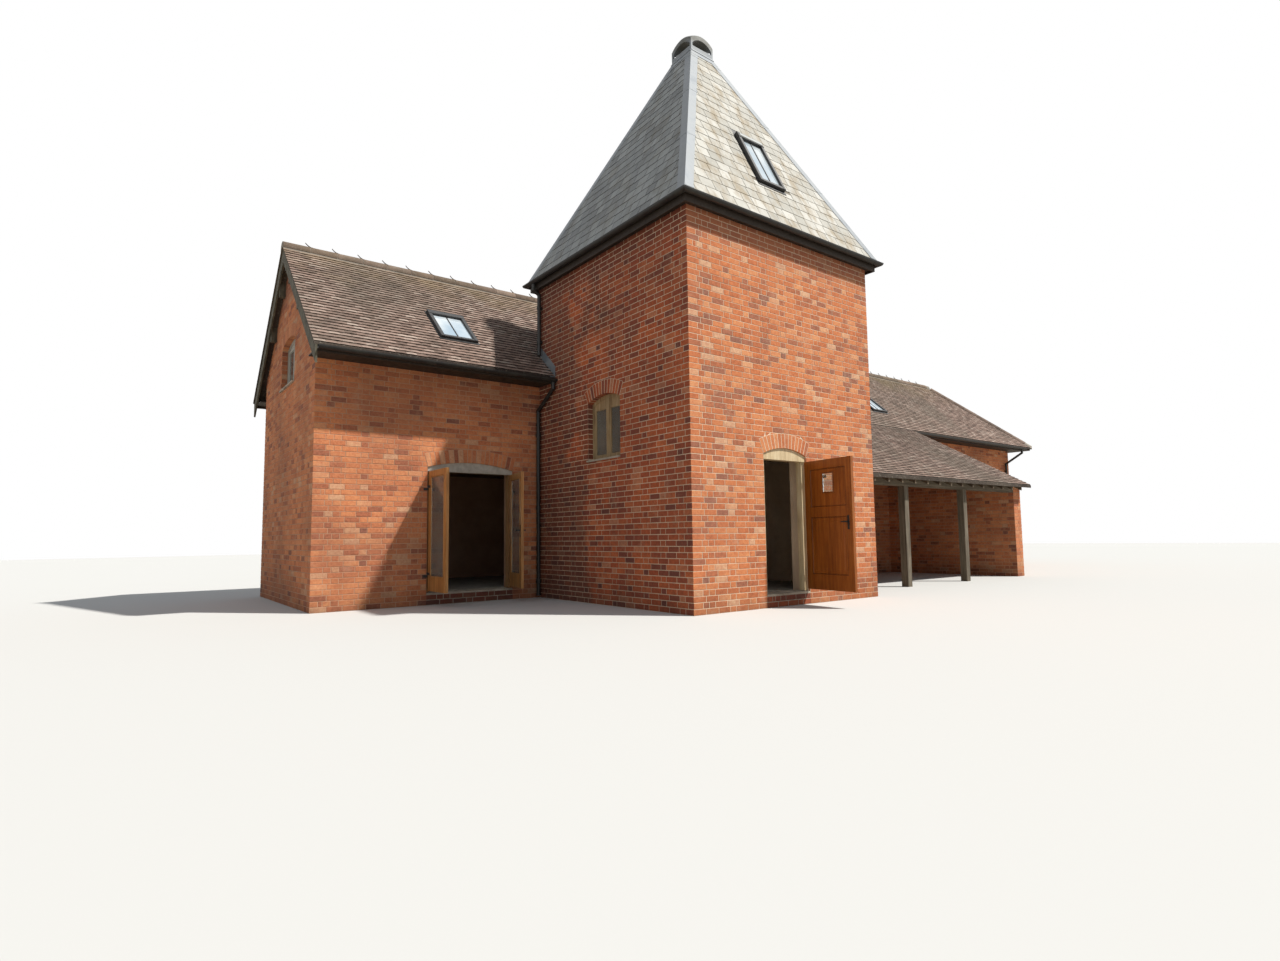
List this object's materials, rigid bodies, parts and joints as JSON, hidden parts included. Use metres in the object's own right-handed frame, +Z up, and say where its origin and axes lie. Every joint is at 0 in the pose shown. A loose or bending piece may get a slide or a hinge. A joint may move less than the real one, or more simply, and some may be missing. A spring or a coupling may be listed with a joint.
{
  "type": "oast house",
  "caption": "Brick oast house: square kiln with slated pyramid roof and domed cowl, tiled range with a hipped end, lean-to porch and hinged doors.",
  "frame": {"origin": "centre of the kiln's plan at ground level, on the underside of the kiln floor", "axes": "+X east along the front, +Y back through the house, +Z up"},
  "size_m": [22.5, 9.8488, 10.1288],
  "materials": {
    "kiln_brick": "hand-made orange-red brick with pale lime mortar",
    "range_brick": "smooth orange-red brick with pale mortar",
    "slate": "riven grey slate, lichened",
    "clay_tile": "plain clay tile, mottled brown and red",
    "lead": "sheet lead, weathered",
    "black_paint": "black paint on softwood",
    "cast_iron": "black painted",
    "door_oak": "orange-brown stained oak",
    "frame_oak": "pale brown stained oak",
    "cream_paint": "cream paint",
    "weathered_timber": "weathered stained timber",
    "structural_timber": "sawn softwood",
    "floor_boards": "planed boards",
    "stone": "sawn stone",
    "glass": "clear"
  },
  "bodies": {
    "building": {"door_hinge_pins": "cast_iron", "door_steps": "stone", "downpipes": "cast_iron", "french_door_frame": "frame_oak", "gable_window_frame": "frame_oak", "kiln_cowl_curb": "lead", "kiln_cowl_lid": "lead", "kiln_door_frame": "cream_paint", "kiln_east_wall": "kiln_brick", "kiln_fascia": "black_paint", "kiln_floor": "stone", "kiln_gutter": "cast_iron", "kiln_hips": "lead", "kiln_north_wall": "kiln_brick", "kiln_roof_east": "slate", "kiln_roof_north": "slate", "kiln_roof_south": "slate", "kiln_roof_west": "slate", "kiln_south_wall_east": "kiln_brick", "kiln_south_wall_over_door": "kiln_brick", "kiln_south_wall_west": "kiln_brick", "kiln_wall_plate": "structural_timber", "kiln_west_wall": "kiln_brick", "kiln_window_frame": "frame_oak", "lead_flashings": "lead", "porch_beam": "weathered_timber", "porch_end_wall": "range_brick", "porch_posts": "weathered_timber", "porch_rafters": "weathered_timber", "porch_roof": "clay_tile", "range_bargeboards": "weathered_timber", "range_east_wall": "range_brick", "range_fascias": "black_paint", "range_floor": "stone", "range_gutters": "cast_iron", "range_hip_tiles": "clay_tile", "range_north_wall": "range_brick", "range_purlin_ends": "weathered_timber", "range_ridge_tiles": "clay_tile", "range_roof_east": "clay_tile", "range_roof_north": "clay_tile", "range_roof_south": "clay_tile", "range_south_wall_east": "range_brick", "range_south_wall_over_french_doors": "range_brick", "range_south_wall_west": "range_brick", "range_upper_floor": "floor_boards", "range_west_gable": "range_brick", "range_windows_frame": "frame_oak", "roof_window_frames": "black_paint", "roof_window_glass": "glass", "window_glass": "glass", "window_sills": "frame_oak"},
    "kiln_door": {"kiln_door": "door_oak", "kiln_door_glass": "glass"},
    "french_door_left": {"french_door_left": "door_oak", "french_door_left_glass": "glass"},
    "french_door_right": {"french_door_right": "door_oak", "french_door_right_glass": "glass"}
  },
  "joints": [
    {"name": "kiln_door_hinge", "type": "hinge", "parent": "building", "child": "kiln_door", "pos_m": [0.305, -2.06, 0.23], "axis": [0, 0, 1], "range_deg": [-83, 15]},
    {"name": "french_door_left_hinge", "type": "hinge", "parent": "building", "child": "french_door_left", "pos_m": [-4.105, 2.04, 0.23], "axis": [0, 0, 1], "range_deg": [-15, 90]},
    {"name": "french_door_right_hinge", "type": "hinge", "parent": "building", "child": "french_door_right", "pos_m": [-2.595, 2.04, 0.23], "axis": [0, 0, 1], "range_deg": [-78, 15]}
  ]
}
